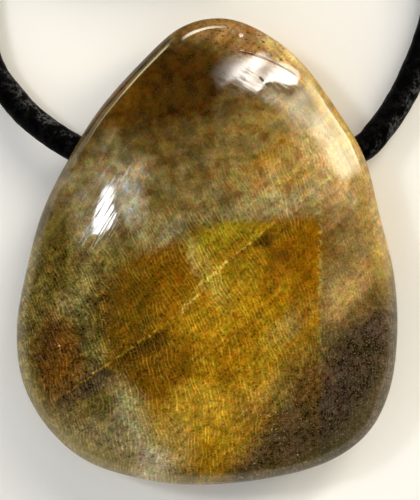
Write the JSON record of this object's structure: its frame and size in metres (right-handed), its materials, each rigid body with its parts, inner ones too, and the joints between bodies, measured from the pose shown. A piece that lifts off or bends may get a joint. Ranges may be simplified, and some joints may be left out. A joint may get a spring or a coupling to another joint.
{
  "type": "polished petrified wood pendant",
  "caption": "Drop-shaped pendant of polished petrified wood, domed in front and flat behind, drilled from side to side and threaded on a black leather cord that is coiled, tied and knotted.",
  "frame": {"origin": "under the middle of the stone, on the surface that its flat back rests on", "axes": "+Y along the stone's length towards its narrow end and the cord, +X towards the right of the front as seen from above, +Z out of the domed front"},
  "size_m": [0.0453, 0.0853, 0.0096],
  "materials": {
    "petrified_wood": "high polish, brown, gold and grey wood grain",
    "black_leather": "glossy black with scuffs",
    "waxed_thread": "twisted and waxed, dark brown"
  },
  "bodies": {
    "root": {"stone": "petrified_wood", "cord_left": "black_leather", "cord_right": "black_leather", "cord_coil": "black_leather", "cord_left_end": "black_leather", "cord_right_end": "black_leather", "cord_knot": "black_leather", "coil_tie": "waxed_thread"}
  },
  "joints": []
}
